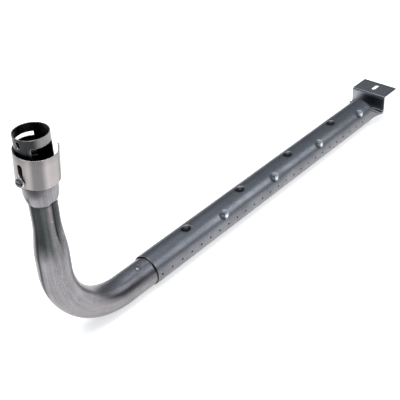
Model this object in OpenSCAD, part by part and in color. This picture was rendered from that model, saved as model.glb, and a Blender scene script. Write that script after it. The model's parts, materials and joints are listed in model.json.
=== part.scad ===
// Atmospheric gas burner assembly.
// A ported burner tube is fed by a bent mixer pipe with a venturi throat. A spring
// shutter slides over the pipe's air windows and a slotted screw clamps it. A Z-shaped
// bracket, pinched into the far end of the tube, fastens the burner at the back.
// Frame: the origin is the centre of the inlet mouth, +Z points out of the mouth and
// +X runs along the burner tube, away from the inlet. All sizes are in millimetres.

/* [Burner tube] */
// Outside diameter of the burner tube
tube_od = 38.1; // [37.9:0.1:38.5]
// Wall of the burner tube
tube_wall = 0.9; // [0.8:0.05:1]
// Inlet axis to the open end of the burner tube
tube_start = 125; // [122:1:127]
// Inlet axis to the cut edge of the pinched end
tube_end = 601.5; // [596:0.5:620]
// Length of tube that is worked from round to flat
pinch_len = 19; // [16:0.5:30]
// Width of the pinched end
pinch_width = 55.2; // [53.4:0.2:57]

/* [Ports] */
// Diameter of one flame port
port_d = 2.8; // [2:0.1:3.2]
// Number of ports along each side
port_count = 26; // [10:1:26]
// Distance from one port to the next
port_pitch = 17.1; // [14:0.1:17.1]
// Inlet axis to the first port
port_start = 131.4; // [131.4:0.2:133]

/* [Dimples] */
// Radius of the punch that presses a dimple
dimple_punch_r = 9.6; // [8.8:0.1:10.4]
// Depth of a dimple
dimple_depth = 3; // [2:0.1:3.2]
// Number of dimples in each of the two rows
dimple_count = 4; // [1:1:4]
// Angle from the top row to the side row
dimple_side_angle = 47; // [40:1:50]
// Inlet axis to the first dimple of the top row
dimple_start = 194; // [188:1:198]

/* [Inlet pipe] */
// Outside diameter of the inlet pipe
pipe_od = 34.9; // [34.6:0.1:35]
// Wall of the inlet pipe
pipe_wall = 1.2; // [1:0.05:1.3]
// Axis of the burner tube to the rim of the inlet mouth
mouth_height = 242; // [236:1:250]
// Radius of the bend, measured on the pipe's axis
bend_r = 86; // [82:1:88]
// Length of pipe that lies inside the burner tube
pipe_insert = 4.5; // [2:0.5:4.5]
// Inside diameter of the mouth, sized over a short length
mouth_bore_d = 33; // [32.9:0.1:33.2]

/* [Throat] */
// Outside radius of the venturi throat
throat_r = 14; // [12:0.1:15]
// Mouth to the start of the shoulder above the throat
shoulder_top = 60; // [58:0.5:61]
// Length of the rounded shoulder
shoulder_len = 14; // [12:0.5:18]
// Mouth to the end of the straight throat
flare_top = 98; // [90:1:104]
// Length over which the pipe opens out again
flare_len = 42; // [30:1:46]
// Depth of the two folds that take up the spare metal
fold_depth = 2.4; // [1:0.1:2.6]

/* [Air windows] */
// Mouth to the top edge of the air windows
window_top = 9; // [8.6:0.1:11]
// Height of the air windows
window_height = 25.4; // [20:0.2:27]
// Angle that one air window takes around the pipe
window_angle = 98; // [80:1:100]

/* [Air shutter] */
// Outside diameter of the shutter
shutter_od = 43; // [42.8:0.1:43.4]
// Sheet thickness of the shutter
shutter_wall = 0.7; // [0.5:0.1:0.7]
// Height of the shutter
shutter_height = 32.5; // [30:0.5:32.5]
// Angle of the gap between the shutter's ends
shutter_gap_angle = 50; // [40:1:70]
// Lean of the shutter, turned about the screw's axis
shutter_lean = 6; // [0:0.5:6]
// Length of the adjusting slot
slot_length = 22.4; // [18:0.1:23]
// Width of the adjusting slot
slot_width = 6.6; // [5.4:0.1:6.8]

/* [Shutter screw] */
// Angle of the screw around the pipe, from +X
screw_angle = 184; // [176:1:188]
// Mouth to the axis of the screw
screw_below_mouth = 42.5; // [41:0.1:44]
// Diameter of the screw's shank
screw_d = 4.8; // [4.5:0.1:4.8]
// Length of the screw under its head
screw_length = 12; // [8:0.5:14]
// Width of the hexagon head across its flats
head_flats = 7.9; // [7:0.1:8.5]
// Diameter of the head's washer face
washer_d = 10.4; // [9.5:0.1:11]

/* [Rear bracket] */
// Sheet thickness of the bracket
bracket_t = 1.5; // [1.2:0.1:1.6]
// Width of the bracket
bracket_width = 53; // [52:0.5:53]
// Axis of the burner tube to the top of the flange
flange_rise = 23.6; // [20:0.2:30]
// Inlet axis to the far edge of the flange
bracket_end = 637; // [630:1:645]
// Length of the slot in the flange
bracket_slot_length = 16; // [12:0.5:18]
// Width of the slot in the flange
bracket_slot_width = 5.5; // [4.5:0.1:6.5]

/* [Hidden] */
$fn = 96;
eps = 0.01;

// Burner tube
tube_r = tube_od / 2;
tube_bore_r = tube_r - tube_wall;
pinch_start = tube_end - pinch_len;
tongue_gap = bracket_t / 2;
loft_inset = 0.05;
loft_sides = 48;
pinch_rings = 10;
pinch_flat = 1.5;
dimple_pitch = 6 * port_pitch;

// Inlet pipe
pipe_r = pipe_od / 2;
pipe_bore_r = pipe_r - pipe_wall;
pipe_drop = tube_bore_r - pipe_r - 0.03;
bend_top = bend_r - mouth_height - pipe_drop;
flare_end = flare_top + flare_len;
pipe_end = tube_start + pipe_insert;
mouth_bore_depth = 8.4;
shoulder_ring_step = 2;
throat_ring_step = 5;
fold_angle = 94;
fold_half_angle = 24;
stop_x = tube_start - 17;
stop_angle = 12;
stop_r = 9;
stop_rise = 0.5;
peep_below_mouth = 6.2;
peep_width = 5.2;
peep_height = 7.6;

// Shutter and screw
shutter_r = shutter_od / 2;
shutter_bore_r = shutter_r - shutter_wall;
shutter_offset = 0.2;
shutter_rise = 10.25;
screw_r = screw_d / 2;
thread_clearance = 0.05;
washer_t = 1;
washer_clearance = 0.3;
head_height = 3.4;
head_dome = 0.5;
driver_slot_width = 1.3;
driver_slot_depth = 1.6;
washer_seat = shutter_r - shutter_offset + washer_clearance;

// Bracket
bend_in_r = 1.5;
bend_out_r = bend_in_r + bracket_t;
web_x = tube_end + 2;
tongue_width = 36;
tongue_start = tube_end - 12;
bracket_slot_x = 622.5;

// Smooth step from 0 to 1 as x goes from a to b
function ease(x, a, b) =
    let (t = min(1, max(0, (x - a) / (b - a)))) t * t * (3 - 2 * t);

// Signed angle between two directions, from -180 to 180
function angle_apart(a, b) = let (d = (a - b + 540) % 360) d - 180;

// Share of a rounded shoulder that is steepest at its end, as x goes from a to b
function shoulder(x, a, b) =
    let (t = min(1, max(0, (x - a) / (b - a)))) 1 - pow(1 - t * t, 0.75);

// Depth of the throat below the plain pipe at a distance below the mouth, from 0 to 1
function throat_share(d) =
    shoulder(d, shoulder_top, shoulder_top + shoulder_len) * (1 - ease(d, flare_top, flare_end));

// Share of the fold at an angle around the pipe, 1 in the valley
function fold_share(a) =
    let (off = min([for (side = [-1, 1]) abs(angle_apart(a, screw_angle + side * fold_angle))]))
    1 - ease(off, 0, fold_half_angle);

// Outside radius of the pipe at a distance below the mouth and an angle
function pipe_outside(d, a) =
    pipe_r - (pipe_r - throat_r) * throat_share(d) - fold_depth * throat_share(d) * fold_share(a);

// One closed ring of the throat, set in from the pipe's outside
function throat_ring(d, inset) =
    [for (i = [0 : loft_sides - 1])
        let (a = i * 360 / loft_sides, r = pipe_outside(d, a) - inset)
        [r * cos(a), r * sin(a), -d]];

// One closed ring of the pinched end, from round at 0 to flat at 1
function pinch_ring(x, share, r, half_width, half_height) =
    [for (i = [0 : loft_sides - 1])
        let (a = i * 360 / loft_sides,
             flat_z = half_height * sign(sin(a)) * min(1, 8 * abs(sin(a))))
        [x,
         ((1 - share) * r + share * half_width) * cos(a),
         (1 - share) * r * sin(a) + share * flat_z]];

// A hollow wall between a list of outer rings and a list of inner rings
module hollow_loft(outer, inner) {
    n = len(outer[0]);
    m = len(outer);
    base = n * m;
    function at(k, i) = k * n + i % n;
    outer_faces = [for (k = [0 : m - 2], i = [0 : n - 1])
        [at(k, i), at(k + 1, i), at(k + 1, i + 1), at(k, i + 1)]];
    inner_faces = [for (k = [0 : m - 2], i = [0 : n - 1])
        [base + at(k, i), base + at(k, i + 1), base + at(k + 1, i + 1), base + at(k + 1, i)]];
    first_faces = [for (i = [0 : n - 1])
        [at(0, i), at(0, i + 1), base + at(0, i + 1), base + at(0, i)]];
    last_faces = [for (i = [0 : n - 1])
        [at(m - 1, i), base + at(m - 1, i), base + at(m - 1, i + 1), at(m - 1, i + 1)]];
    points = concat([for (ring = outer) each ring], [for (ring = inner) each ring]);
    polyhedron(points, concat(outer_faces, inner_faces, first_faces, last_faces));
}

// A plain tube from the origin along +Z
module tube(r_out, r_in, length) {
    difference() {
        cylinder(r = r_out, h = length);
        translate([0, 0, -eps]) cylinder(r = r_in, h = length + 2 * eps);
    }
}

// A slot with round ends: a through cutter along +X, long along Z
module slot_cutter(width, length, depth) {
    run = length / 2 - width / 2;
    for (s = [-1, 1])
        translate([0, 0, s * run]) rotate([0, 90, 0]) cylinder(d = width, h = depth);
    translate([0, -width / 2, -run]) cube([depth, width, 2 * run]);
}

// A wedge around Z, used to cut windows and gaps
module wedge(angle, reach, height) {
    rotate([0, 0, -angle / 2])
        rotate_extrude(angle = angle) square([reach, height]);
}

// Places a child on the burner tube's surface at an angle from the top, towards -Y
module on_tube(x, angle) {
    translate([x, 0, -mouth_height]) rotate([angle, 0, 0]) children();
}

module dimple_places() {
    for (i = [0 : dimple_count - 1]) {
        on_tube(dimple_start + i * dimple_pitch, 0) children();
        on_tube(dimple_start + (i + 0.53) * dimple_pitch, dimple_side_angle) children();
    }
}

module dimple_ball(extra) {
    translate([0, 0, tube_r - dimple_depth + dimple_punch_r])
        sphere(r = dimple_punch_r + extra);
}

module pinched_end() {
    run = pinch_len - pinch_flat;
    half = pinch_width / 2;
    shares = concat([for (k = [0 : pinch_rings]) ease(k, 0, pinch_rings)], [1]);
    stations = concat([for (k = [0 : pinch_rings]) pinch_start + run * k / pinch_rings], [tube_end]);
    last = len(stations) - 1;
    insets = [for (k = [0 : last]) k == 0 ? loft_inset : 0];
    translate([0, 0, -mouth_height])
        hollow_loft(
            [for (k = [0 : last]) pinch_ring(stations[k], shares[k], tube_r - insets[k],
                half, tongue_gap + tube_wall)],
            [for (k = [0 : last]) pinch_ring(stations[k], shares[k], tube_bore_r + insets[k],
                half - tube_wall, tongue_gap)]);
}

module burner_tube() {
    color([0.42, 0.45, 0.5]) union() {
        difference() {
            union() {
                translate([tube_start, 0, -mouth_height]) rotate([0, 90, 0])
                    tube(tube_r, tube_bore_r, pinch_start - tube_start);
                intersection() {
                    translate([tube_start, 0, -mouth_height]) rotate([0, 90, 0])
                        cylinder(r = tube_r - tube_wall / 2, h = pinch_start - tube_start);
                    union() dimple_places() dimple_ball(tube_wall);
                }
            }
            dimple_places() dimple_ball(0);
            for (i = [0 : port_count - 1])
                translate([port_start + i * port_pitch, tube_r + 1, -mouth_height])
                    rotate([90, 0, 0]) cylinder(d = port_d, h = tube_od + 2, $fn = 32);
        }
        pinched_end();
    }
}

module pipe_head() {
    difference() {
        translate([0, 0, -shoulder_top]) tube(pipe_r, pipe_bore_r, shoulder_top);
        translate([0, 0, -mouth_bore_depth]) cylinder(d = mouth_bore_d, h = mouth_bore_depth + 1);
        for (s = [-90, 90])
            rotate([0, 0, screw_angle + s]) translate([0, 0, -window_top - window_height])
                wedge(window_angle, pipe_od, window_height);
        rotate([0, 0, screw_angle]) {
            translate([0, 0, -peep_below_mouth]) slot_cutter(peep_width, peep_height, pipe_od);
            translate([0, 0, -screw_below_mouth]) rotate([0, 90, 0])
                cylinder(r = screw_r + thread_clearance, h = pipe_od);
        }
    }
}

module throat() {
    neck_top = shoulder_top + shoulder_len;
    depths = concat(
        [for (d = [shoulder_top : shoulder_ring_step : neck_top - 1]) d],
        [for (d = [neck_top : throat_ring_step : flare_end - 1]) d],
        [flare_end]);
    last = len(depths) - 1;
    insets = [for (k = [0 : last]) k == 0 || k == last ? loft_inset : 0];
    hollow_loft(
        [for (k = [last : -1 : 0]) throat_ring(depths[k], insets[k])],
        [for (k = [last : -1 : 0]) throat_ring(depths[k], pipe_wall - insets[k])]);
}

module stop_mark() {
    difference() {
        rotate([stop_angle, 0, 0]) translate([0, 0, pipe_r + stop_rise - stop_r]) sphere(r = stop_r);
        translate([-stop_r - 1, 0, 0]) rotate([0, 90, 0])
            cylinder(r = pipe_r - pipe_wall / 2, h = 2 * stop_r + 2);
    }
}

module inlet_pipe() {
    leg_z = -mouth_height - pipe_drop;
    color([0.5, 0.5, 0.52]) union() {
        pipe_head();
        throat();
        translate([0, 0, bend_top]) tube(pipe_r, pipe_bore_r, -flare_end - bend_top);
        translate([bend_r, 0, bend_top]) rotate([90, 0, 0]) rotate([0, 0, 180])
            rotate_extrude(angle = 90) translate([bend_r, 0]) difference() {
                circle(r = pipe_r);
                circle(r = pipe_bore_r);
            }
        translate([bend_r, 0, leg_z]) rotate([0, 90, 0])
            tube(pipe_r, pipe_bore_r, pipe_end - bend_r);
        translate([stop_x, 0, leg_z]) stop_mark();
    }
}

// A quarter ring of sheet, from angle a to a + 90
module quarter_bend(a) {
    rotate([0, 0, a]) intersection() {
        difference() {
            circle(r = bend_out_r);
            circle(r = bend_in_r);
        }
        square(bend_out_r + 1);
    }
}

module tongue_profile() {
    translate([tongue_start, -bracket_t / 2]) square([web_x - bend_in_r - tongue_start, bracket_t]);
}

module web_profile() {
    low = bracket_t / 2 + bend_in_r;
    high = flange_rise - bend_out_r;
    translate([web_x - bend_in_r, low]) quarter_bend(-90);
    translate([web_x, low]) square([bracket_t, high - low]);
    translate([web_x + bend_out_r, high]) quarter_bend(90);
    translate([web_x + bend_out_r, flange_rise - bracket_t])
        square([bracket_end - web_x - bend_out_r, bracket_t]);
}

module rear_bracket() {
    color([0.36, 0.38, 0.42]) difference() {
        translate([0, 0, -mouth_height]) rotate([90, 0, 0]) union() {
            linear_extrude(tongue_width, center = true) tongue_profile();
            linear_extrude(bracket_width, center = true) web_profile();
        }
        translate([bracket_slot_x, 0, -mouth_height + flange_rise + 1])
            rotate([0, 90, 0])
            slot_cutter(bracket_slot_width, bracket_slot_length, bracket_t + 2);
    }
}

// The spring band about its own axis, open on the -X side
module shutter_band() {
    difference() {
        tube(shutter_r, shutter_bore_r, shutter_height);
        rotate([0, 0, 180]) translate([0, 0, -1])
            wedge(shutter_gap_angle, shutter_od, shutter_height + 2);
    }
}

module air_shutter() {
    color([0.72, 0.69, 0.67])
        translate([0, 0, -screw_below_mouth]) rotate([0, 0, screw_angle]) rotate([-shutter_lean, 0, 0])
            difference() {
                translate([-shutter_offset, 0, shutter_rise - shutter_height / 2]) shutter_band();
                translate([0, 0, slot_length / 2 - slot_width / 2])
                    slot_cutter(slot_width, slot_length, shutter_od);
            }
}

module shutter_screw() {
    color([0.3, 0.31, 0.33])
    translate([0, 0, -screw_below_mouth]) rotate([0, 0, screw_angle])
        translate([washer_seat, 0, 0]) rotate([0, 90, 0]) {
            difference() {
                union() {
                    translate([0, 0, -screw_length]) cylinder(r = screw_r, h = screw_length + eps);
                    cylinder(d = washer_d, h = washer_t);
                    intersection() {
                        cylinder(d = head_flats / cos(30), h = head_height, $fn = 6);
                        cylinder(r1 = head_flats, r2 = head_flats / 2 - head_dome, h = head_height + 1);
                    }
                }
                translate([-washer_d, -driver_slot_width / 2, head_height - driver_slot_depth])
                    cube([2 * washer_d, driver_slot_width, driver_slot_depth + 1]);
            }
        }
}

burner_tube();
inlet_pipe();
rear_bracket();
air_shutter();
shutter_screw();
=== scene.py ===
"""Looks of a gas burner assembly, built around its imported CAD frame. Lengths are in metres."""
import json
from math import atan2, cos, degrees, hypot, pi, radians, sin, sqrt

import bmesh
import bpy
from mathutils import Matrix, Vector


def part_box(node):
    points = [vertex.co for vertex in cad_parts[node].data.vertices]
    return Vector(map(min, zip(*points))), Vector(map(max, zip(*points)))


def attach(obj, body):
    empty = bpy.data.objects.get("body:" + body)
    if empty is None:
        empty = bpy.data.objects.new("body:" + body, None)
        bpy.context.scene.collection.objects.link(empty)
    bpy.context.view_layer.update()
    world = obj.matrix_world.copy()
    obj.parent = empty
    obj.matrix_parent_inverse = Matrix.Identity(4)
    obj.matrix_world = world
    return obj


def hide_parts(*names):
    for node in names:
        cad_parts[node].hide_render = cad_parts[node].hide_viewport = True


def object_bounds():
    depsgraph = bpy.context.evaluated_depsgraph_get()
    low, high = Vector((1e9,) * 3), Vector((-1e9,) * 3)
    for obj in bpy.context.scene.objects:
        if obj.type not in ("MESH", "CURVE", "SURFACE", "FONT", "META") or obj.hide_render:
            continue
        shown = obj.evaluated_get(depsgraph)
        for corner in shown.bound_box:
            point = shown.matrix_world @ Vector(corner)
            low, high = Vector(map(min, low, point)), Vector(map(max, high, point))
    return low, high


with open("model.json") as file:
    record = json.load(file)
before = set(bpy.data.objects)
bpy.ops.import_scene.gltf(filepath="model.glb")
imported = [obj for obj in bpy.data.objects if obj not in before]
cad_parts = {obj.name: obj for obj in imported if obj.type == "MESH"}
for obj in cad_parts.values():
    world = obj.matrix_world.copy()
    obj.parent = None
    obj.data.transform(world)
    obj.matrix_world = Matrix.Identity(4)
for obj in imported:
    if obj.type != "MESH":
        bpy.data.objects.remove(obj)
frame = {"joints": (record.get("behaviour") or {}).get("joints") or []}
cad_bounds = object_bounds()
MM = 0.001

# ---------------------------------------------------------------- sizes that the frame gives
tube_low, tube_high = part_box("burner_tube")
pipe_low, pipe_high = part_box("inlet_pipe")
bracket_low, bracket_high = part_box("rear_bracket")

TUBE_START, TUBE_END = tube_low.x, tube_high.x
TUBE_R = (tube_high.z - tube_low.z) / 2
TUBE_AXIS_Z = (tube_high.z + tube_low.z) / 2
PINCH_HALF = (tube_high.y - tube_low.y) / 2
PIPE_R = (pipe_high.y - pipe_low.y) / 2
PIPE_END = pipe_high.x
LEG_Z = pipe_low.z + PIPE_R
JOINTS = {joint["name"]: joint for joint in frame["joints"]}
SCREW_POINT = Vector(JOINTS["screw_turn"]["pos_m"])
SCREW_LINE = Vector(JOINTS["screw_turn"]["axis"])
SCREW_OUT = SCREW_LINE if SCREW_LINE.x < 0 else -SCREW_LINE
SCREW_ANGLE = atan2(SCREW_OUT.y, SCREW_OUT.x) % (2 * pi)
SLIDE_AXIS = Vector(JOINTS["shutter_slide"]["axis"])

# ---------------------------------------------------------------- sizes kept from the design
TUBE_WALL = 0.9 * MM
PINCH_LEN, PINCH_FLAT = 19 * MM, 1.5 * MM
TONGUE_GAP = 0.75 * MM
PORT_R, PORT_COUNT = 1.4 * MM, 26
PORT_PITCH, PORT_START = 17.1 * MM, 131.4 * MM
DIMPLE_PUNCH_R, DIMPLE_DEPTH = 9.6 * MM, 3 * MM
DIMPLE_START, DIMPLE_COUNT = 194 * MM, 4
DIMPLE_SIDE = radians(47)

PIPE_WALL = 1.2 * MM
BEND_R = 86 * MM
THROAT_R = 14 * MM
SHOULDER_POWER = 0.75
SHOULDER_TOP, SHOULDER_LEN = 60 * MM, 14 * MM
FLARE_TOP, FLARE_LEN = 98 * MM, 42 * MM
FOLD_DEPTH, FOLD_TURN = 2.8 * MM, radians(94)
FOLD_WIDE, FOLD_NARROW = radians(26), radians(13)
FOLD_POWER = 1.15
RIDGE_RISE, BEAD_PITCH = 0.5 * MM, 3.4 * MM
WINDOW_TOP, WINDOW_HEIGHT = 9 * MM, 25.4 * MM
PEEP_BELOW, PEEP_W, PEEP_H = 6.2 * MM, 5.2 * MM, 7.6 * MM
MOUTH_DEPTH, MOUTH_STEP = 8.4 * MM, 0.25 * MM

WINDOW_ANGLE = radians(98)
SHUTTER_R, SHUTTER_WALL = 21.5 * MM, 0.7 * MM
SHUTTER_H, SHUTTER_GAP = 32.5 * MM, radians(50)
SHUTTER_OFFSET, SHUTTER_RISE = 0.2 * MM, 10.25 * MM
SHUTTER_LEAN = atan2(SLIDE_AXIS.y, -SLIDE_AXIS.z)
SLOT_L, SLOT_W = 22.4 * MM, 6.6 * MM

SCREW_R, SCREW_L = 2.4 * MM, 12 * MM
SCREW_HOLE_R = 2.45 * MM
WASHER_R, WASHER_T, WASHER_GAP = 5.2 * MM, 1 * MM, 0.3 * MM
HEAD_FLATS, HEAD_H = 7.9 * MM, 3.4 * MM
DRIVER_W, DRIVER_DEPTH = 1.3 * MM, 1.6 * MM
WASHER_SEAT = SHUTTER_R - SHUTTER_OFFSET + WASHER_GAP

BRACKET_T, BEND_IN = 1.5 * MM, 1.5 * MM
TONGUE_HALF = 18 * MM
WEB_X = TUBE_END + 2 * MM
BRACKET_SLOT_X = 622.5 * MM
BRACKET_SLOT_L, BRACKET_SLOT_W = 16 * MM, 5.5 * MM

# ---------------------------------------------------------------- finer sizes, for the look
TUBE_EDGE, PIPE_EDGE = 0.12 * MM, 0.15 * MM
SHUTTER_EDGE, BRACKET_EDGE = 0.14 * MM, 0.16 * MM
SCREW_EDGE = 0.1 * MM
EDGE_WEAR = 0.6
SMOOTH_UP_TO = radians(38)


# ---------------------------------------------------------------- camera
CAMERA_PLACE = Vector((-0.402, -0.5574, 0.3817))
CAMERA_YAW, CAMERA_PITCH, CAMERA_ROLL = radians(41.78), radians(34.73), radians(2.85)
CAMERA_LENS, CAMERA_SENSOR = 77.68, 36.0


def make_camera():
    data = bpy.data.cameras.new("camera")
    data.lens, data.sensor_width, data.sensor_height = CAMERA_LENS, CAMERA_SENSOR, CAMERA_SENSOR
    data.clip_start, data.clip_end = 0.02, 20
    ahead = Vector((cos(CAMERA_PITCH) * cos(CAMERA_YAW),
                    cos(CAMERA_PITCH) * sin(CAMERA_YAW),
                    -sin(CAMERA_PITCH)))
    level = ahead.cross(Vector((0, 0, 1))).normalized()
    down = ahead.cross(level)
    right = cos(CAMERA_ROLL) * level + sin(CAMERA_ROLL) * down
    below = -sin(CAMERA_ROLL) * level + cos(CAMERA_ROLL) * down
    turn = Matrix((right, -below, -ahead)).transposed()
    camera = bpy.data.objects.new("camera", data)
    bpy.context.scene.collection.objects.link(camera)
    camera.matrix_world = Matrix.Translation(CAMERA_PLACE) @ turn.to_4x4()
    bpy.context.scene.camera = camera


# ---------------------------------------------------------------- small helpers
def ease(x, a, b):
    """Smooth step from 0 to 1 as x goes from a to b."""
    t = min(1.0, max(0.0, (x - a) / (b - a)))
    return t * t * (3 - 2 * t)


def steps(*stops):
    """Grid lines from (place, cells to the next place) pairs and a last place."""
    lines = []
    for (here, cells), there in zip(stops[:-1], [s[0] for s in stops[1:-1]] + [stops[-1]]):
        lines += [here + (there - here) * k / cells for k in range(cells)]
    return lines + [stops[-1]]


def angle_apart(a, b):
    """Turn from b to a, the short way round."""
    return (a - b + pi) % (2 * pi) - pi


def stadium(phi, half_run, r):
    """Point in direction phi on a slot outline with round ends, long along the first axis."""
    c, s = cos(phi), sin(phi)
    if abs(s) > 1e-9 and abs(c) * r / abs(s) <= half_run:
        return r * c / abs(s), r * s / abs(s)
    reach = half_run * abs(c) + sqrt(max(0.0, r * r - (half_run * s) ** 2))
    return reach * c, reach * s


def slot_rings(length, width, growths, r=1.0):
    """Outlines of a slot with round ends, wider by each growth; r turns the offset across
    into an angle."""
    def outline(phi, growth):
        along, across = stadium(phi, (length - width) / 2, width / 2 * growth)
        return along, across / r

    return [lambda phi, growth=growth: outline(phi, growth) for growth in growths]


def hole_rings(radii, r):
    """Outlines of a round hole in a tube of radius r."""
    return [lambda phi, hole=hole: (hole * cos(phi), hole * sin(phi) / r) for hole in radii]


class Wall:
    """A sheet with two faces, laid out as a grid over u and v.

    A hole or a pressed dimple takes a block of the grid's cells and fills it with rings.
    place(u, v, side) gives a point on the outer face (side 0) or the inner face (side 1),
    grain(u, v, side) the same point on the flat or straight stock, wear(u, v) how rubbed it
    is, and tint(u, v, side) how painted light and shade, stains and marks colour it."""

    def __init__(self, us, vs, period=0.0):
        self.us, self.vs, self.period = us, vs, period
        self.nu, self.nv = len(us), len(vs)
        self.points = [(u, v) for u in us for v in vs]
        self.faces = []
        self.taken = set()

    def at(self, i, j):
        return i * self.nv + j % self.nv

    def v_line(self, j):
        turns, k = divmod(j, self.nv)
        return self.vs[k] + turns * self.period

    def drop(self, test):
        """Leave out the cells whose middle passes the test."""
        for i in range(self.nu - 1):
            for j in range(self.nv if self.period else self.nv - 1):
                u = (self.us[i] + self.us[i + 1]) / 2
                v = (self.v_line(j) + self.v_line(j + 1)) / 2
                if test(u, v):
                    self.taken.add((i, j % self.nv))

    def let_in(self, u, v, reach_u, reach_v, outlines, closed):
        """Fill the block of cells that covers the reach around (u, v) with the outlines, from
        the outside in. An outline gives an offset (du, dv) for a direction."""
        i0 = max(i for i in range(self.nu) if self.us[i] <= u - reach_u + 1e-9)
        i1 = min(i for i in range(self.nu) if self.us[i] >= u + reach_u - 1e-9)
        span = range(-self.nv, 2 * self.nv) if self.period else range(self.nv)
        j0 = max(j for j in span if self.v_line(j) <= v - reach_v + 1e-9)
        j1 = min(j for j in span if self.v_line(j) >= v + reach_v - 1e-9)
        self.taken |= {(i, j % self.nv) for i in range(i0, i1) for j in range(j0, j1)}
        border = [((i0 + k, j0), k / (i1 - i0)) for k in range(i1 - i0)]
        border += [((i1, j0 + k), 1 + k / (j1 - j0)) for k in range(j1 - j0)]
        border += [((i1 - k, j1), 2 + k / (i1 - i0)) for k in range(i1 - i0)]
        border += [((i0, j1 - k), 3 + k / (j1 - j0)) for k in range(j1 - j0)]
        ring = [self.at(i, j) for (i, j), _ in border]
        for outline in outlines:
            inner = []
            for _, quarter in border:
                du, dv = outline(radians(-135 + 90 * quarter))
                inner.append(len(self.points))
                self.points.append((u + du, v + dv))
            n = len(ring)
            self.faces += [(ring[k], ring[(k + 1) % n], inner[(k + 1) % n], inner[k])
                           for k in range(n)]
            ring = inner
        if closed:
            middle = len(self.points)
            self.points.append((u, v))
            self.faces += [(ring[k], ring[(k + 1) % len(ring)], middle)
                           for k in range(len(ring))]

    def build(self, name, place, grain, wear, tint, edge):
        """The piece itself: both faces, closed along every rim, with rounded edges."""
        for i in range(self.nu - 1):
            for j in range(self.nv if self.period else self.nv - 1):
                if (i, j) not in self.taken:
                    self.faces.append((self.at(i, j), self.at(i + 1, j),
                                       self.at(i + 1, j + 1), self.at(i, j + 1)))
        used = sorted({k for face in self.faces for k in face})
        number = {k: n for n, k in enumerate(used)}
        faces = [tuple(number[k] for k in face) for face in self.faces]
        spots = [self.points[k] for k in used]
        n = len(spots)
        sides = {(f[k], f[(k + 1) % len(f)]) for f in faces for k in range(len(f))}
        rim = sorted((a, b) for a, b in sides if (b, a) not in sides)
        mesh = bpy.data.meshes.new(name)
        mesh.from_pydata([place(u, v, side) for side in (0, 1) for u, v in spots], [],
                         faces + [tuple(n + k for k in reversed(f)) for f in faces]
                         + [(b, a, n + a, n + b) for a, b in rim])
        mesh.attributes.new("grain", "FLOAT_VECTOR", "POINT")
        mesh.attributes.new("wear", "FLOAT", "POINT")
        mesh.attributes.new("tint", "FLOAT_VECTOR", "POINT")
        stock, rubbed, tinted = (mesh.attributes[a] for a in ("grain", "wear", "tint"))
        for side in (0, 1):
            for k, (u, v) in enumerate(spots):
                stock.data[side * n + k].vector = grain(u, v, side)
                rubbed.data[side * n + k].value = wear(u, v)
                tinted.data[side * n + k].vector = tint(u, v, side)
        bm = bmesh.new()
        bm.from_mesh(mesh)
        bmesh.ops.recalc_face_normals(bm, faces=bm.faces)
        bm.verts.ensure_lookup_table()
        rims = {frozenset((a + k, b + k)) for a, b in rim for k in (0, n)}
        cut = [e for e in bm.edges if frozenset(w.index for w in e.verts) in rims]
        worn = bm.verts.layers.float["wear"]
        for e in cut:
            for w in e.verts:
                w[worn] = max(w[worn], EDGE_WEAR)
        bmesh.ops.bevel(bm, geom=cut, offset=edge, segments=2, profile=0.5, affect="EDGES",
                        clamp_overlap=False)
        bm.to_mesh(mesh)
        bm.free()
        return finish_mesh(name, mesh)


def finish_mesh(name, mesh):
    """The piece for a mesh, smooth except at its sharp edges."""
    mesh.shade_smooth()
    mesh.set_sharp_from_angle(angle=SMOOTH_UP_TO)
    piece = bpy.data.objects.new(name, mesh)
    bpy.context.scene.collection.objects.link(piece)
    return piece


def unworn(u, v):
    """Wear of a sheet that is rubbed only at its edges."""
    return 0.0


def stand_for(piece, node, body, material):
    """Show the piece in place of a CAD node, carried by the node's body."""
    piece.data.materials.append(material)
    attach(piece, body)
    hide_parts(node)


# ---------------------------------------------------------------- burner tube
TUBE_SIDES = 120
TUBE_STEP = 2 * pi / TUBE_SIDES
DIMPLE_HALF_U = sqrt(DIMPLE_PUNCH_R ** 2 - (DIMPLE_PUNCH_R - DIMPLE_DEPTH) ** 2)
DIMPLE_CENTRE_R = TUBE_R - DIMPLE_DEPTH + DIMPLE_PUNCH_R
DIMPLE_MEET_Z = (DIMPLE_CENTRE_R ** 2 + TUBE_R ** 2 - DIMPLE_PUNCH_R ** 2) / (2 * DIMPLE_CENTRE_R)
DIMPLE_HALF_V = atan2(sqrt(TUBE_R ** 2 - DIMPLE_MEET_Z ** 2), DIMPLE_MEET_Z)
DIMPLE_RIM, DIMPLE_FADE = 0.3 * MM, 1.25
DIMPLE_RINGS = (1.14, 1.08, 1.04, 1.01, 0.98, 0.94, 0.88, 0.78, 0.64, 0.48, 0.3, 0.14)
DIMPLE_PITCH = 6 * PORT_PITCH
TOP = pi / 2


def dimples():
    """Place along the tube and angle from +Y of every dimple."""
    for k in range(DIMPLE_COUNT):
        yield DIMPLE_START + k * DIMPLE_PITCH, TOP
        yield DIMPLE_START + (k + 0.53) * DIMPLE_PITCH, TOP + DIMPLE_SIDE


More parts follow.
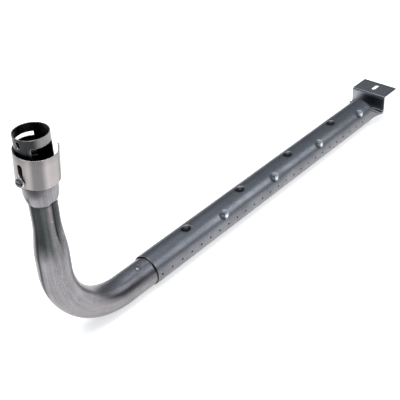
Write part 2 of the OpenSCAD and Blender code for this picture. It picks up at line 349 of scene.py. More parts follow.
def dimple_drop(x, a):
    """How far the dimples press the surface in at a place on the tube."""
    drop = 0.0
    for dimple_x, dimple_a in dimples():
        if abs(x - dimple_x) > 2 * DIMPLE_HALF_U:
            continue
        share = hypot((x - dimple_x) / DIMPLE_HALF_U, angle_apart(a, dimple_a) / DIMPLE_HALF_V)
        if share > DIMPLE_FADE:
            continue
        near = min(share, 1.0) * DIMPLE_HALF_U
        depth = sqrt(DIMPLE_PUNCH_R ** 2 - near ** 2) - (DIMPLE_PUNCH_R - DIMPLE_DEPTH)
        depth -= max(0.0, share - 1) * DIMPLE_HALF_U
        rounded = (depth + sqrt(depth * depth + DIMPLE_RIM ** 2)) / 2
        drop += rounded * (1 - ease(share, 1.1, DIMPLE_FADE))
    return drop


def tube_place(x, a, side):
    """A point on the tube: round, dimpled, and pressed flat at the far end."""
    r = TUBE_R - side * TUBE_WALL - dimple_drop(x, a)
    run = PINCH_LEN - PINCH_FLAT
    share = ease(x, TUBE_END - PINCH_LEN, TUBE_END - PINCH_LEN + run)
    half_w = PINCH_HALF - side * TUBE_WALL
    half_h = TONGUE_GAP + (1 - side) * TUBE_WALL
    flat = half_h * max(-1, min(1, 8 * sin(a)))
    return (x,
            ((1 - share) * r + share * half_w) * cos(a),
            (1 - share) * r * sin(a) + share * flat + TUBE_AXIS_Z)


# How each row of dimples is painted with light and shade. The painted bright crescent lies toward a
# direction (along the tube, up its side) and between two shares of the dimple's radius; it and the
# painted darker bowl have a brightness, as multiples of the plain steel's.
TOP_ROW = {"toward": (0.55, 0.84), "inner": 0.96, "outer": 1.08, "turned": 0.3,
           "pale": 2.2, "bowl": 0.16}
SIDE_ROW = {"toward": (0.98, -0.12), "inner": 0.5, "outer": 1.04, "turned": 0.0,
            "pale": 2.6, "bowl": 0.6}
# Painted shade on the tube's inner face
INSIDE_TUBE_SHADE = (0.3, 0.3, 0.3)
# Painted warm reflection of the floor on the tube's lower side
WARM_FLOOR_REFLECTION = (1.03, 0.97, 0.92)


def soft_tint(level, color=(1, 1, 1), share=1.0):
    """A tint of a brightness, coloured in part."""
    return tuple(level * (1 + share * (c - 1)) for c in color)


def band(x, middle, half):
    """Smooth bump of height 1 around a middle."""
    return max(0.0, 1 - ((x - middle) / half) ** 2) ** 2


def dimple_painted_light(x, a):
    """Painted light and shade inside the dimples: a darker bowl and a bright crescent on the wall
    that turns towards the light, with a shaded rim on the other side."""
    for dimple_x, dimple_a in dimples():
        along = (x - dimple_x) / DIMPLE_HALF_U
        if abs(along) > DIMPLE_FADE:
            continue
        across = -angle_apart(a, dimple_a) / DIMPLE_HALF_V
        share = hypot(along, across)
        if share > DIMPLE_FADE:
            continue
        row = TOP_ROW if dimple_a == TOP else SIDE_ROW
        facing = (along * row["toward"][0] + across * row["toward"][1]) / max(share, 0.01)
        crescent = ease(share, row["inner"], row["inner"] + 0.14)
        crescent *= 1 - ease(share, row["outer"], row["outer"] + 0.12)
        crescent *= ease(facing, row["turned"], 0.8)
        bowl = 1 - ease(share, 0.86, 1.04)
        rim = 0.35 * band(share, 1.0, 0.2) * ease(-facing, -0.3, 0.2)
        level = (1 - (1 - row["bowl"]) * bowl) * (1 - rim)
        return level + (row["pale"] - level) * crescent
    return 1.0


def tube_painted_light(x, a, side):
    """Painted light and shade in the dimples, a painted warm floor reflection low on the side, and
    painted shade inside.
    """
    if side:
        return INSIDE_TUBE_SHADE
    turn = angle_apart(a, pi)
    # painted warm floor reflection, low on the tube's side
    floor_reflection = ease(turn, radians(-25), radians(-5)) * (1 - ease(turn, radians(60), radians(80)))
    return soft_tint(dimple_painted_light(x, a), WARM_FLOOR_REFLECTION, floor_reflection)


def make_burner_tube():
    pinch = TUBE_END - PINCH_LEN
    block = 3 * TUBE_STEP * TUBE_R
    stops = [(TUBE_START, 8)]
    for k in range(PORT_COUNT):
        port = PORT_START + k * PORT_PITCH
        stops += [(port - block, 6), (port + block, 5)]
    stops[-1] = (stops[-1][0], 5)
    stops += [(pinch, 24), (TUBE_END - PINCH_FLAT, 2), TUBE_END]
    wall = Wall(steps(*stops), [k * TUBE_STEP for k in range(TUBE_SIDES)], 2 * pi)
    for k in range(PORT_COUNT):
        for a in (0, pi):
            rings = hole_rings((1.45 * PORT_R, PORT_R), TUBE_R)
            wall.let_in(PORT_START + k * PORT_PITCH, a, block, 3 * TUBE_STEP, rings, False)
    for x, a in dimples():
        rings = [lambda phi, s=s: (s * DIMPLE_HALF_U * cos(phi), s * DIMPLE_HALF_V * sin(phi))
                 for s in DIMPLE_RINGS]
        wall.let_in(x, a, 1.2 * DIMPLE_HALF_U, DIMPLE_FADE * DIMPLE_HALF_V, rings, True)

    def grain(x, a, side):
        r = TUBE_R - side * TUBE_WALL
        return (x, r * cos(a), r * sin(a))

    piece = wall.build("tube_shell", tube_place, grain, unworn, tube_painted_light, TUBE_EDGE)
    stand_for(piece, "burner_tube", "burner", tube_steel())


# ---------------------------------------------------------------- inlet pipe
PIPE_UPRIGHT = -BEND_R - LEG_Z
PIPE_CURVE = BEND_R * pi / 2
PIPE_RUN = PIPE_UPRIGHT + PIPE_CURVE + PIPE_END - BEND_R
SCREW_BELOW = -SCREW_POINT.z
STOP_X, STOP_TURN = TUBE_START - 17 * MM, radians(-12)
STOP_HALF, STOP_RISE = 2.8 * MM, 0.5 * MM

# Brightness, colour and, in degrees round the pipe, place of its marks
# Painted shade on the pipe's inner face
INSIDE_PIPE_SHADE = (0.1, 0.1, 0.1)
HEAD_DARK, THROAT_DARKENING_BASE = 0.15, 0.15
DARK_GREEN, LEG_SKY_BLUE, RUST = (0.9, 1.04, 0.99), (0.96, 1.02, 1.1), (1.15, 0.6, 0.45)
SEAM_DARK, SEAM_HALF = 0.93, 12
# Painted reflection of the dark horizon along the leg: its place and half width in degrees
LEG_HORIZON, LEG_HORIZON_HALF = -56, 32


def shoulder(t):
    """Share of the rounded shoulder, steepest at its end."""
    t = min(1.0, max(0.0, t))
    return 1 - (1 - t * t) ** SHOULDER_POWER


def throat_share(d):
    """How far the pipe is drawn in towards the throat's radius, from 0 to 1."""
    return (shoulder((d - SHOULDER_TOP) / SHOULDER_LEN)
            * (1 - ease(d, FLARE_TOP, FLARE_TOP + FLARE_LEN)))


def fold_shape(d, a):
    """Depth of the two V-shaped folds in the throat, less the ridges along their edges."""
    start = SHOULDER_TOP + 0.7 * SHOULDER_LEN
    end = FLARE_TOP + 0.95 * FLARE_LEN
    if d < start or d > end:
        return 0.0
    run = (d - start) / (end - start)
    half = FOLD_WIDE + (FOLD_NARROW - FOLD_WIDE) * run
    off = min(abs(angle_apart(a, SCREW_ANGLE + s * FOLD_TURN)) for s in (-1, 1)) / half
    fade = ease(run, 0, 0.07) * (1 - ease(run, 0.55, 1))
    valley = max(0.0, 1 - off) ** FOLD_POWER
    ridge = max(0.0, 1 - abs(off - 1.05) / 0.22)
    beads = 0.6 + 0.4 * sin(2 * pi * d / BEAD_PITCH + 1.7 * sin(d / (2 * MM)))
    return fade * (FOLD_DEPTH * valley - RIDGE_RISE * beads * ridge * ridge)


def pipe_place(d, a, side):
    """A point on the pipe at a distance along it from the mouth."""
    share = throat_share(d)
    r = PIPE_R - (PIPE_R - THROAT_R) * share - fold_shape(d, a)
    r -= side * PIPE_WALL
    if side and d < MOUTH_DEPTH:
        r += MOUTH_STEP
    turn = min(max(d - PIPE_UPRIGHT, 0), PIPE_CURVE) / BEND_R
    leg = max(0, d - PIPE_UPRIGHT - PIPE_CURVE)
    if leg and not side:
        off = hypot(leg + BEND_R - STOP_X, PIPE_R * angle_apart(a, STOP_TURN)) / STOP_HALF
        r += STOP_RISE * (1 - ease(off, 0, 1))
    x = BEND_R * (1 - cos(turn)) + leg
    z = -min(d, PIPE_UPRIGHT) - BEND_R * sin(turn)
    return (x + r * cos(a) * cos(turn), r * sin(a), z + r * cos(a) * sin(turn))


def pipe_lines():
    """Angles from the screw round the pipe, with lines on the edges of both air windows."""
    near, far = TOP - WINDOW_ANGLE / 2, TOP + WINDOW_ANGLE / 2
    lines = steps((0, 11), (near, 26), (far, 22), (2 * pi - far, 26), (2 * pi - near, 11), 2 * pi)
    return lines[:-1]


def stop_mark_shade(d, a):
    """Painted shade round the pressed stop mark: a faint dark ring and two dark spots, all in
    millimetres.
    """
    x = (d - PIPE_UPRIGHT - PIPE_CURVE + BEND_R - STOP_X) / MM
    t = PIPE_R * angle_apart(a, STOP_TURN) / MM
    if hypot(x, t) > 8:
        return 1.0
    nicks = max(band(hypot(x - 4.6, t + 0.6), 0, 1.5), band(hypot(x + 4.4, t + 2.2), 0, 1.3))
    return (1 - 0.3 * band(hypot(x, t), 3.4, 1.2)) * (1 - 0.85 * nicks)


def head_level(d, turn):
    """Brightness above the shutter: dark round the screw's side, with a lighter line beside
    the front window."""
    beside = band(turn, 38, 3.6) * ease(d, WINDOW_TOP, WINDOW_TOP + 3 * MM)
    front = 0.75 * ease(turn, 46, 78)
    back = 0.16 * (1 - ease(turn, -45, -15))
    return HEAD_DARK + front + back + 0.5 * beside


def throat_darkening(d, turn):
    """Darker in the throat, darkest below the screw and less dark on the ridge at the front."""
    inside = ease(d, SHOULDER_TOP + 0.9 * SHOULDER_LEN, SHOULDER_TOP + 1.1 * SHOULDER_LEN)
    inside *= 1 - ease(d, FLARE_TOP + 0.4 * FLARE_LEN, FLARE_TOP + 1.1 * FLARE_LEN)
    far = ease(turn, 92, 108) * (1 - ease(d, FLARE_TOP, FLARE_TOP + 0.4 * FLARE_LEN))
    thick = 0.7 * ease(turn, -20, -8)
    thin = 0.2 * ease(turn, 28, 42) + 0.4 * ease(turn, 52, 66)
    return inside * (THROAT_DARKENING_BASE + thick - thin + 0.35 * far)


def seam_mark(d, turn):
    """The dark seam line, which wanders down the outside of the bend."""
    middle = -3 - 24 * ease(d, PIPE_UPRIGHT, 0.7 * PIPE_RUN)
    starts = ease(d, SHOULDER_TOP, SHOULDER_TOP + 6 * MM)
    ends = ease(d, 0.64 * PIPE_RUN, 0.8 * PIPE_RUN)
    return SEAM_DARK * band(turn, middle, SEAM_HALF) * starts * (1 - ends)


def leg_painted_reflections(d, a):
    """Painted reflections on the leg: a dark streak along its side, the horizon's painted reflection,
    and the share of its bluish upper half, the sky's painted reflection.
    """
    leg = ease(d, PIPE_UPRIGHT + 0.55 * PIPE_CURVE, PIPE_UPRIGHT + 0.9 * PIPE_CURVE)
    roll = degrees(angle_apart(a, 0))
    dark = 0.74 - 0.3 * ease(d, 0.86 * PIPE_RUN, PIPE_RUN)
    return leg * dark * band(roll, LEG_HORIZON, LEG_HORIZON_HALF), leg * ease(roll, -75, -55)


def pipe_tint(d, a, side):
    """Painted shade inside; outside, dark above the shutter and in the throat, with painted shade and
    painted reflections, a seam line and a rust mark.
    """
    if side:
        return INSIDE_PIPE_SHADE
    turn = degrees(angle_apart(a, SCREW_ANGLE))
    head = 1 - ease(d, 48 * MM, 58 * MM)
    throat_dark = throat_darkening(d, turn)
    # painted reflections on the leg: the horizon's dark streak and the sky's bluish upper half
    streak, sky_share = leg_painted_reflections(d, a)
    shade = 0.7 * band(d, SHOULDER_TOP - 4 * MM, 9 * MM) * band(turn, 30, 48)
    # painted shade in the folds' valleys, darkest where they are deepest
    valley = 0.9 * max(0.0, fold_shape(d, a)) / FOLD_DEPTH
    shoulder_end = SHOULDER_TOP + SHOULDER_LEN
    # painted shade in the crease at the shoulder's lower end
    lip = 0.5 * band(d, shoulder_end + 0.6 * MM, 1.6 * MM)
    level = (1 - head) * (1 - throat_dark) + head * head_level(d, turn)
    for dark in (valley, seam_mark(d, turn), shade, lip, streak):
        level *= 1 - dark
    tint = soft_tint(level * stop_mark_shade(d, a), DARK_GREEN, max(throat_dark, 0.5 * head))
    rust = 0.6 * band(turn, 62, 7) * band(d, shoulder_end + 7 * MM, 8 * MM)
    for share, color in ((sky_share, LEG_SKY_BLUE), (rust, RUST)):
        tint = tuple(c * w for c, w in zip(tint, soft_tint(1, color, share)))
    return tint


def make_inlet_pipe():
    window_end = WINDOW_TOP + WINDOW_HEIGHT
    curve_end = PIPE_UPRIGHT + PIPE_CURVE
    mark = curve_end + STOP_X - BEND_R
    lines = steps((0, 1), (1.2 * MM, 7), (WINDOW_TOP, 20), (window_end, 20), (SHOULDER_TOP, 16),
                  (SHOULDER_TOP + SHOULDER_LEN, 34), (FLARE_TOP, 50), (FLARE_TOP + FLARE_LEN, 8),
                  (PIPE_UPRIGHT, 64), (curve_end, 12), (mark - 4 * MM, 16), (mark + 4 * MM, 8),
                  PIPE_RUN)
    wall = Wall(lines, [SCREW_ANGLE + a for a in pipe_lines()], 2 * pi)
    half = WINDOW_ANGLE / 2
    wall.drop(lambda d, a: WINDOW_TOP < d < window_end and min(
        abs(angle_apart(a, SCREW_ANGLE + s * TOP)) for s in (-1, 1)) < half)
    peep = slot_rings(PEEP_H, PEEP_W, (1.3, 1.0), PIPE_R)
    wall.let_in(PEEP_BELOW, SCREW_ANGLE, 4.6 * MM, radians(14), peep, False)
    hole = hole_rings((1.2 * SCREW_HOLE_R, SCREW_HOLE_R), PIPE_R)
    wall.let_in(SCREW_BELOW, SCREW_ANGLE, 3.6 * MM, radians(14), hole, False)

    def grain(d, a, side):
        r = PIPE_R - side * PIPE_WALL
        return (d, r * cos(a), r * sin(a))

    def wear(d, a):
        return min(1.0, 0.8 * max(0.0, -fold_shape(d, a)) / RIDGE_RISE)

    piece = wall.build("pipe_shell", pipe_place, grain, wear, pipe_tint, PIPE_EDGE)
    stand_for(piece, "inlet_pipe", "burner", pipe_steel())


# ---------------------------------------------------------------- air shutter
# Painted shade on the shutter's inner face
INSIDE_SHUTTER_SHADE = (0.35, 0.35, 0.36)
REFLECTION_BLUE = (0.95, 1.0, 1.04)


def shutter_matrix():
    """From the shutter's own axes, +X out through the screw, to the model's."""
    return (Matrix.Translation(SCREW_POINT) @ Matrix.Rotation(SCREW_ANGLE, 4, "Z")
            @ Matrix.Rotation(-SHUTTER_LEAN, 4, "X"))


def shutter_painted_light(h, a, side):
    """Painted light and shade: a darker painted reflection on the front, a painted shadow line near
    the free end, painted shade towards the screw, the free end and the top, and painted shade inside.
    """
    if side:
        return INSIDE_SHUTTER_SHADE
    turn = degrees(a)
    # painted dark, bluish reflection on the front of the band
    patch = 0.6 * ease(turn, 22, 38) * (1 - ease(turn, 54, 74))
    # painted shadow line near the band's free end
    line = 0.6 * band(turn, 117, 7)
    # painted shade: darker towards the screw, the free end and the top
    near_screw = 0.42 * (1 - ease(turn, 0, 40))
    near_end = 0.18 * ease(turn, 60, 90)
    near_top = 0.15 * band(h, SHUTTER_H, 9 * MM)
    level = (1 - patch) * (1 - near_screw - near_end - near_top) * (1 - line)
    return soft_tint(level, REFLECTION_BLUE, patch)


def make_air_shutter():
    to_model = shutter_matrix()
    low = SHUTTER_RISE - SHUTTER_H / 2
    half = pi - SHUTTER_GAP / 2

    def place(h, a, side):
        r = SHUTTER_R - side * SHUTTER_WALL
        return to_model @ Vector((r * cos(a) - SHUTTER_OFFSET, r * sin(a), low + h))

    slot_mid = (SLOT_L - SLOT_W) / 2 - low
    block = radians(15)
    margin, turn_margin = 0.8 * MM, 0.05
    wall = Wall(steps((0, 1), (margin, 24), (SHUTTER_H - margin, 1), SHUTTER_H),
                steps((-half, 1), (-half + turn_margin, 38), (-block, 10), (block, 38),
                      (half - turn_margin, 1), half))
    slot = slot_rings(SLOT_L, SLOT_W, (1.35, 1.0), SHUTTER_R)
    wall.let_in(slot_mid, 0, SLOT_L / 2 + 1.2 * MM, block, slot, False)

    def grain(h, a, side):
        return (h, SHUTTER_R * a, side * SHUTTER_WALL)

    piece = wall.build("shutter_band", place, grain, unworn, shutter_painted_light, SHUTTER_EDGE)
    stand_for(piece, "air_shutter", "shutter", shutter_steel())


# ---------------------------------------------------------------- shutter screw
THREAD_PITCH, THREAD_DEPTH = 0.8 * MM, 0.42 * MM
HEAD_CORNER = HEAD_FLATS / 2 / cos(radians(30))
HEAD_FOOT = 0.2 * MM
WASHER_DISH = 0.25 * MM
SHANK_WEAR, HEAD_WEAR, WASHER_WEAR = 0.0, 0.16, 0.95
SCREW_SMOOTH_UP_TO = radians(32)


def circle(r, z, sides):
    """Points round +Z at a radius and height."""
    return [(r * cos(2 * pi * k / sides), r * sin(2 * pi * k / sides), z) for k in range(sides)]


def lathe(bm, profile, sides):
    """A solid of revolution around +Z from (radius, height) points that start and end at r = 0."""
    rings = [[bm.verts.new(point) for point in (circle(r, z, sides) if r else [(0, 0, z)])]
             for r, z in profile]
    for lower, upper in zip(rings, rings[1:]):
        for k in range(sides):
            k1 = (k + 1) % sides
            if len(lower) == 1:
                bm.faces.new((lower[0], upper[k1], upper[k]))
            elif len(upper) == 1:
                bm.faces.new((lower[k], lower[k1], upper[0]))
            else:
                bm.faces.new((lower[k], lower[k1], upper[k1], upper[k]))


def solid(name, fill):
    """A piece whose mesh the fill function draws."""
    mesh = bpy.data.meshes.new(name)
    bm = bmesh.new()
    fill(bm)
    bmesh.ops.recalc_face_normals(bm, faces=bm.faces)
    bm.to_mesh(mesh)
    bm.free()
    piece = bpy.data.objects.new(name, mesh)
    bpy.context.scene.collection.objects.link(piece)
    return piece


def combine(piece, tool, operation):
    """Apply a boolean of the tool to the piece, and drop the tool."""
    step = piece.modifiers.new(operation, "BOOLEAN")
    step.operation, step.object, step.solver = operation, tool, "EXACT"
    bake_modifiers(piece)
    bpy.data.objects.remove(tool)


def bake_modifiers(piece):
    """Replace the piece's mesh with the one that its modifiers make."""
    bpy.context.view_layer.update()
    seen = piece.evaluated_get(bpy.context.evaluated_depsgraph_get())
    mesh = bpy.data.meshes.new_from_object(seen)
    piece.modifiers.clear()
    piece.data = mesh


def box_fill(low, high):
    """A fill function for a box between two corners."""
    def fill(bm):
        made = bmesh.ops.create_cube(bm, size=1)
        for w in made["verts"]:
            w.co = Vector([low[k] if w.co[k] < 0 else high[k] for k in range(3)])
    return fill


def screw_head():
    """Hexagon with a domed top on a dished washer face, with a slot for a driver."""
    hexagon = [(0, HEAD_FOOT), (HEAD_CORNER, HEAD_FOOT), (HEAD_CORNER, HEAD_H), (0, HEAD_H)]
    dome = [(0, -MM), (1.5 * HEAD_CORNER, -MM), (1.18 * HEAD_CORNER, 0.45 * HEAD_H),
            (0.86 * HEAD_CORNER, HEAD_H - 0.12 * MM), (0.8 * HEAD_CORNER, HEAD_H), (0, HEAD_H)]
    washer = [(0, 0), (WASHER_R - WASHER_DISH, 0), (WASHER_R, WASHER_DISH),
              (WASHER_R, 0.62 * WASHER_T), (WASHER_R - WASHER_DISH, 0.9 * WASHER_T),
              (0.9 * HEAD_CORNER, WASHER_T), (0, WASHER_T)]
    head = solid("screw_head", lambda bm: lathe(bm, hexagon, 6))
    combine(head, solid("dome", lambda bm: lathe(bm, dome, 96)), "INTERSECT")
    combine(head, solid("washer", lambda bm: lathe(bm, washer, 72)), "UNION")
    slot = box_fill((-2 * WASHER_R, -DRIVER_W / 2, HEAD_H - DRIVER_DEPTH),
                    (2 * WASHER_R, DRIVER_W / 2, 2 * HEAD_H))
    combine(head, solid("driver", slot), "DIFFERENCE")
    bevel = head.modifiers.new("edges", "BEVEL")
    bevel.width, bevel.segments = SCREW_EDGE, 2
    bevel.limit_method, bevel.angle_limit = "ANGLE", radians(35)
    bevel.use_clamp_overlap = True
    bake_modifiers(head)
    return head


def mark_screw_wear(mesh):
    """The washer face is bright, the head darker and the shank black."""
    rubbed = mesh.attributes.new("wear", "FLOAT", "POINT")
    for vertex, mark in zip(mesh.vertices, rubbed.data):
        x, y, z = vertex.co
        on_washer = z < 1.05 * WASHER_T and hypot(x, y) > 0.8 * HEAD_CORNER
        mark.value = SHANK_WEAR if z < 0 else WASHER_WEAR if on_washer else HEAD_WEAR


def make_shutter_screw():
    piece = screw_head()
    combine(piece, thread_solid(), "UNION")
    mark_screw_wear(piece.data)
    turn = SCREW_OUT.to_track_quat("Z", "Y").to_matrix().to_4x4()
    piece.data.transform(Matrix.Translation(SCREW_POINT + SCREW_OUT * WASHER_SEAT) @ turn)
    piece.data.shade_smooth()
    piece.data.set_sharp_from_angle(angle=SCREW_SMOOTH_UP_TO)
    stand_for(piece, "shutter_screw", "screw", screw_steel())


def thread_solid():
    """The shank, a ridge running round it at the thread's pitch, and a cone point."""
    sides, per_turn = 32, 6
    rows = int(SCREW_L / THREAD_PITCH * per_turn)

    def thread_ring(z):
        ring = []
        for i in range(sides):
            height = 1 - abs(2 * ((z / THREAD_PITCH - i / sides) % 1) - 1)
            fade = ease(z, -0.4 * MM, -1.6 * MM)
            r = SCREW_R - THREAD_DEPTH * (1 - height) * fade
            ring.append((r * cos(2 * pi * i / sides), r * sin(2 * pi * i / sides), z))
        return ring

    def fill(bm):
        start, run = 0.6 * MM - SCREW_L, SCREW_L - 0.5 * MM
        outlines = [circle(0.6 * SCREW_R, 0.1 * MM - SCREW_L, sides)]
        outlines += [thread_ring(start + run * k / rows) for k in range(rows + 1)]
        rings = [[bm.verts.new(point) for point in outline] for outline in outlines]
        point = bm.verts.new((0, 0, -SCREW_L))
        top = bm.verts.new((0, 0, start + run))
        for i in range(sides):
            after = (i + 1) % sides
            for lower, upper in zip(rings, rings[1:]):
                bm.faces.new((lower[i], lower[after], upper[after], upper[i]))
            bm.faces.new((point, rings[0][after], rings[0][i]))
            bm.faces.new((rings[-1][i], rings[-1][after], top))

    return solid("shank", fill)


# ---------------------------------------------------------------- rear bracket
WEB_SHADE_GREEN = (0.94, 1.0, 1.0)
CORNER_ROUND = 1.2 * MM


def bracket_path():
    """Length of each stretch of the bracket's middle line, and a function that follows it."""
    bend = BEND_IN + BRACKET_T / 2
    flange_z = bracket_high.z - BRACKET_T / 2
    tongue = WEB_X - BEND_IN - bracket_low.x
    quarter = bend * pi / 2
    web = flange_z - TUBE_AXIS_Z - 2 * bend
    flange = bracket_high.x - WEB_X - BRACKET_T / 2 - bend
    marks = [0, tongue, tongue + quarter, tongue + quarter + web, tongue + 2 * quarter + web]
    total = marks[-1] + flange

    def follow(t):
        """Point in the XZ plane and direction of travel, as an angle from +X."""
        if t <= marks[1]:
            return bracket_low.x + t, TUBE_AXIS_Z, 0.0
        if t <= marks[2]:
            a = (t - marks[1]) / bend
            return (WEB_X - BEND_IN + bend * sin(a), TUBE_AXIS_Z + bend * (1 - cos(a)), a)
        if t <= marks[3]:
            return WEB_X + BRACKET_T / 2, TUBE_AXIS_Z + bend + t - marks[2], pi / 2
        if t <= marks[4]:
            a = pi / 2 - (t - marks[3]) / bend
            return (WEB_X + BRACKET_T / 2 + bend - bend * sin(a), flange_z - bend + bend * cos(a), a)
        return WEB_X + BRACKET_T / 2 + bend + t - marks[4], flange_z, 0.0

    return marks, total, follow


def make_rear_bracket():
    marks, total, follow = bracket_path()
    half = (bracket_high.y - bracket_low.y) / 2

    def place(t, y, side):
        x, z, a = follow(t)
        lift = BRACKET_T * (0.5 - side)
        narrow = 1 - (1 - TONGUE_HALF / half) * (1 - ease(t, marks[1] - 0.5 * MM, marks[1] + 0.8 * MM))
        round_off = 1 - (CORNER_ROUND / half) * ease(t, total - 1.4 * MM, total) ** 2
        return (x - lift * sin(a), y * narrow * round_off, z + lift * cos(a))

    slot_t = marks[4] + BRACKET_SLOT_X - (WEB_X + BRACKET_T / 2 + BEND_IN + BRACKET_T / 2)
    slot_half = BRACKET_SLOT_L / 2 + 1 * MM
    margin, beside = 0.8 * MM, 4.5 * MM
    wall = Wall(steps((0, 5), (marks[1], 8), (marks[2], 10), (marks[3], 8), (marks[4], 2),
                      (slot_t - slot_half, 16), (slot_t + slot_half, 6), total),
                steps((-half, 1), (-half + margin, 20), (-beside, 10), (beside, 20),
                      (half - margin, 1), half))
    slot = slot_rings(BRACKET_SLOT_L, BRACKET_SLOT_W, (1.25, 1.0))
    wall.let_in(slot_t, 0, slot_half, beside, slot, False)

    # Painted shade on the two bends: they take the dark third tone of bracket_steel, which dims their
    # reflection.
    def wear(t, y):
        bends = ((marks[1] + marks[2]) / 2, (marks[3] + marks[4]) / 2)
        return max(0.0, min(1.0, max(1.3 * (1 - abs(t - bend) / (2.6 * MM)) for bend in bends)))

    def tint(t, y, side):
        """Painted shade on the web towards one side, painted light towards the other, and a darker
        border on the flange.
        """
        on_web = ease(t, marks[2] - MM, marks[2] + MM) * (1 - ease(t, marks[3] - 3 * MM, marks[3]))
        # painted shade on the web, tinted green
        dark = 0.72 - 0.3 * ease(-y, 0.86 * half, half)
        dark *= ease(-y, -0.75 * half, 0) * on_web
        border = max(ease(abs(y), half - 4 * MM, half), ease(t, total - 5 * MM, total))
        border *= 0.35 * ease(t, marks[4], marks[4] + MM)
        # painted light on the web's other side
        bright = 0.4 * on_web * ease(y, 0.3 * half, half)
        return soft_tint((1 - dark) * (1 - border) * (1 + bright), WEB_SHADE_GREEN, dark)

    def grain(t, y, side):
        return (t, y, -side * BRACKET_T)

    piece = wall.build("bracket_sheet", place, grain, wear, tint, BRACKET_EDGE)
    stand_for(piece, "rear_bracket", "burner", bracket_steel())


# ---------------------------------------------------------------- materials
def add(tree, kind, values, **settings):
    """A new node with its settings, and with its inputs linked or set."""
    node = tree.nodes.new(kind)
    for key, value in settings.items():
        setattr(node, key, value)
    for socket, value in values.items():
        if isinstance(value, bpy.types.NodeSocket):
            tree.links.new(value, node.inputs[socket])
        else:
            node.inputs[socket].default_value = value
    return node


def noise(tree, where, stretch, scale, detail=5.0, rough=0.6):
    """Noise over the stock's own coordinates, stretched by a factor along each axis."""
    place = add(tree, "ShaderNodeMapping", {"Vector": where, "Scale": stretch}).outputs[0]
    made = add(tree, "ShaderNodeTexNoise",
               {"Vector": place, "Scale": scale, "Detail": detail, "Roughness": rough})
    return made.outputs["Fac"]


def levels(tree, value, low, high, to_low=0.0, to_high=1.0):
    return add(tree, "ShaderNodeMapRange", {"Value": value, "From Min": low, "From Max": high,
                                            "To Min": to_low, "To Max": to_high}).outputs[0]


def calc(tree, operation, a, b):
    return add(tree, "ShaderNodeMath", {0: a, 1: b}, operation=operation).outputs[0]


def mixture(tree, *parts):
    """Sum of sockets, each times its weight."""
    total = 0.0
    for value, weight in parts:
        total = calc(tree, "ADD", total, calc(tree, "MULTIPLY", value, weight))
    return total


def bumped(tree, height, strength, distance):
    values = {"Strength": strength, "Distance": distance, "Height": height}
    return add(tree, "ShaderNodeBump", values).outputs[0]


def new_metal(name):
    material = bpy.data.materials.new(name)
    material.use_nodes = True
    shader = material.node_tree.nodes["Principled BSDF"]
    shader.inputs["Metallic"].default_value = 1.0
    return material, material.node_tree, shader


def blend_colors(tree, share, a, b):
    return add(tree, "ShaderNodeMix", {"Factor": share, 6: a, 7: b}, data_type="RGBA").outputs[2]


def steel(name, colors, rough, streak=1.0, mottle=1.0, speckle=0.0):
    """Sheet or tube steel: drawn streaks along the stock, cloudy mottling, small stains and
    scratches, and rubbed edges. colors are the dark, light and rubbed tones, rough the lowest
    and highest roughness, and the last three weigh the streaks, clouds and fine specks."""
    dark, light, worn = (color + (1,) for color in colors)
    material, tree, shader = new_metal(name)
    where = add(tree, "ShaderNodeAttribute", {}, attribute_name="grain").outputs["Vector"]
    rubbed = add(tree, "ShaderNodeAttribute", {}, attribute_name="wear").outputs["Fac"]
    tint = add(tree, "ShaderNodeAttribute", {}, attribute_name="tint").outputs["Vector"]
    long_streaks = noise(tree, where, (6, 220, 220), 3.0)
    fine_streaks = noise(tree, where, (30, 1500, 1500), 2.0, 3.0)
    clouds = noise(tree, where, (28, 45, 45), 1.0, 6.0, 0.62)
    grime = noise(tree, where, (160, 260, 260), 1.0, 6.0, 0.7)
    specks = noise(tree, where, (620, 760, 760), 1.0, 4.0, 0.7)
    tone = mixture(tree,
                   (levels(tree, long_streaks, 0.3, 0.7), 0.42 * streak),
                   (levels(tree, clouds, 0.3, 0.7), 0.5 * mottle),
                   (levels(tree, fine_streaks, 0.35, 0.65), 0.16 * streak),
                   (levels(tree, specks, 0.35, 0.65, -0.5, 0.5), speckle))
    stained = tuple(0.45 * c for c in dark[:3]) + (1,)
    stains = levels(tree, grime, 0.6, 0.72, 0.0, 0.55)
    base = blend_colors(tree, stains, blend_colors(tree, tone, dark, light), stained)
    base = add(tree, "ShaderNodeVectorMath", {0: base, 1: tint}, operation="MULTIPLY").outputs[0]
    patchy = calc(tree, "MULTIPLY", rubbed, calc(tree, "ADD", 0.45, grime))
    rub = levels(tree, patchy, 0.35, 0.75)
    tree.links.new(blend_colors(tree, rub, base, worn), shader.inputs["Base Color"])
    cloudy = levels(tree, clouds, 0.3, 0.7, rough[1], rough[0])
    roughness = mixture(tree, (cloudy, 1.0), (stains, 0.18), (rub, -0.1))
    tree.links.new(roughness, shader.inputs["Roughness"])
    relief = mixture(tree, (long_streaks, 0.5), (fine_streaks, 0.25), (grime, 0.35))
    tree.links.new(bumped(tree, relief, 0.5, 0.18 * MM), shader.inputs["Normal"])
    return material


def tube_steel():
    colors = (0.13, 0.14, 0.16), (0.25, 0.26, 0.288), (0.4, 0.4, 0.4)
    return steel("tube_steel", colors, (0.34, 0.44), 0.45, 1.1, 0.5)


def pipe_steel():
    colors = (0.115, 0.112, 0.12), (0.3, 0.285, 0.295), (0.62, 0.59, 0.57)
    return steel("pipe_steel", colors, (0.3, 0.42), 1.4, 1.0, 0.3)


def shutter_steel():
    colors = (0.36, 0.33, 0.325), (0.5, 0.46, 0.45), (0.75, 0.73, 0.72)
    return steel("shutter_steel", colors, (0.24, 0.36), 0.6, 0.8, 0.15)


def bracket_steel():
    # The third, rubbed tone is dark: on the bends it is painted shade.
    colors = (0.14, 0.148, 0.16), (0.3, 0.31, 0.33), (0.13, 0.13, 0.14)
    return steel("bracket_steel", colors, (0.34, 0.5))


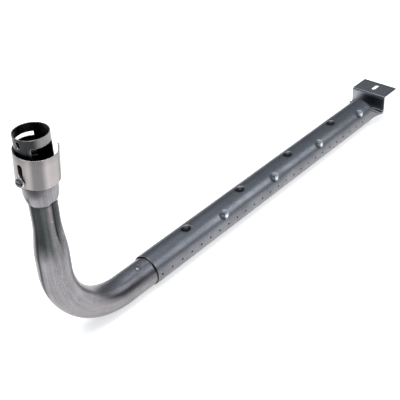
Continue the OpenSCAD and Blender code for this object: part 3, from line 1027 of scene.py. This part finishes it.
def screw_steel():
    """Plated screw: a dark head on a brighter washer face."""
    black, oily, plated = (0.004, 0.005, 0.005, 1), (0.02, 0.021, 0.021, 1), (0.6, 0.6, 0.6, 1)
    material, tree, shader = new_metal("screw_steel")
    where = add(tree, "ShaderNodeTexCoord", {}).outputs["Object"]
    rubbed = add(tree, "ShaderNodeAttribute", {}, attribute_name="wear").outputs["Fac"]
    grime = noise(tree, where, (900, 900, 900), 1.0)
    base = blend_colors(tree, levels(tree, grime, 0.35, 0.65), black, oily)
    tree.links.new(blend_colors(tree, rubbed, base, plated), shader.inputs["Base Color"])
    tree.links.new(levels(tree, grime, 0.3, 0.7, 0.42, 0.26), shader.inputs["Roughness"])
    tree.links.new(bumped(tree, grime, 0.4, 0.1 * MM), shader.inputs["Normal"])
    return material


# ---------------------------------------------------------------- studio
FLOOR_HALF = 6
FLOOR_GREY, FLOOR_GLOW = (0.8, 0.8, 0.8, 1), 0.55
OVERHEAD_OFFSET, OVERHEAD_SIZE, OVERHEAD_POWER = Vector((-0.45, 0.1, 1.9)), (1.7, 1.9), 46
STRIP_AIM_X, STRIP_DISTANCE = 0.2, 1.3
STRIP_TOWARD, STRIP_SIZE, STRIP_POWER = Vector((0.61, -0.575, 0.545)), (0.6, 0.6), 3.4
SKY_COLOR = (0.86, 0.92, 1.0, 1)
SKY_LOW, SKY_HIGH, SKY_FULL_HEIGHT = 0.08, 0.42, 0.6


def make_floor():
    """A pale floor that glows a little, so that the part's shadow stays faint."""
    bm = bmesh.new()
    bmesh.ops.create_grid(bm, x_segments=1, y_segments=1, size=FLOOR_HALF)
    mesh = bpy.data.meshes.new("floor")
    bm.to_mesh(mesh)
    bm.free()
    floor = bpy.data.objects.new("floor", mesh)
    bpy.context.scene.collection.objects.link(floor)
    floor.location.z = cad_bounds[0][2]
    material = bpy.data.materials.new("floor")
    material.use_nodes = True
    shader = material.node_tree.nodes["Principled BSDF"]
    shader.inputs["Base Color"].default_value = FLOOR_GREY
    shader.inputs["Roughness"].default_value = 0.9
    shader.inputs["Emission Color"].default_value = (1, 1, 1, 1)
    shader.inputs["Emission Strength"].default_value = FLOOR_GLOW
    mesh.materials.append(material)


def softbox(name, place, target, size, power):
    data = bpy.data.lights.new(name, "AREA")
    data.shape = "RECTANGLE"
    data.size, data.size_y = size
    data.energy = power
    light = bpy.data.objects.new(name, data)
    bpy.context.scene.collection.objects.link(light)
    light.location = place
    light.rotation_euler = (target - place).to_track_quat("-Z", "Y").to_euler()


def make_sky():
    """A dim sky that brightens with height."""
    world = bpy.data.worlds.new("studio")
    bpy.context.scene.world = world
    world.use_nodes = True
    tree = world.node_tree
    toward = add(tree, "ShaderNodeTexCoord", {}).outputs["Generated"]
    height = add(tree, "ShaderNodeSeparateXYZ", {"Vector": toward}).outputs["Z"]
    back = tree.nodes["Background"]
    back.inputs["Color"].default_value = SKY_COLOR
    strength = levels(tree, height, 0.0, SKY_FULL_HEIGHT, SKY_LOW, SKY_HIGH)
    tree.links.new(strength, back.inputs["Strength"])


def make_studio():
    make_floor()
    middle = (Vector(cad_bounds[0]) + Vector(cad_bounds[1])) / 2
    near_end = Vector((STRIP_AIM_X, 0, TUBE_AXIS_Z))
    softbox("overhead", middle + OVERHEAD_OFFSET, middle, OVERHEAD_SIZE, OVERHEAD_POWER)
    softbox("strip", near_end + STRIP_DISTANCE * STRIP_TOWARD, near_end, STRIP_SIZE, STRIP_POWER)
    make_sky()
    bpy.context.scene.view_settings.view_transform = "Standard"


make_camera()
make_burner_tube()
make_inlet_pipe()
make_air_shutter()
make_shutter_screw()
make_rear_bracket()
make_studio()
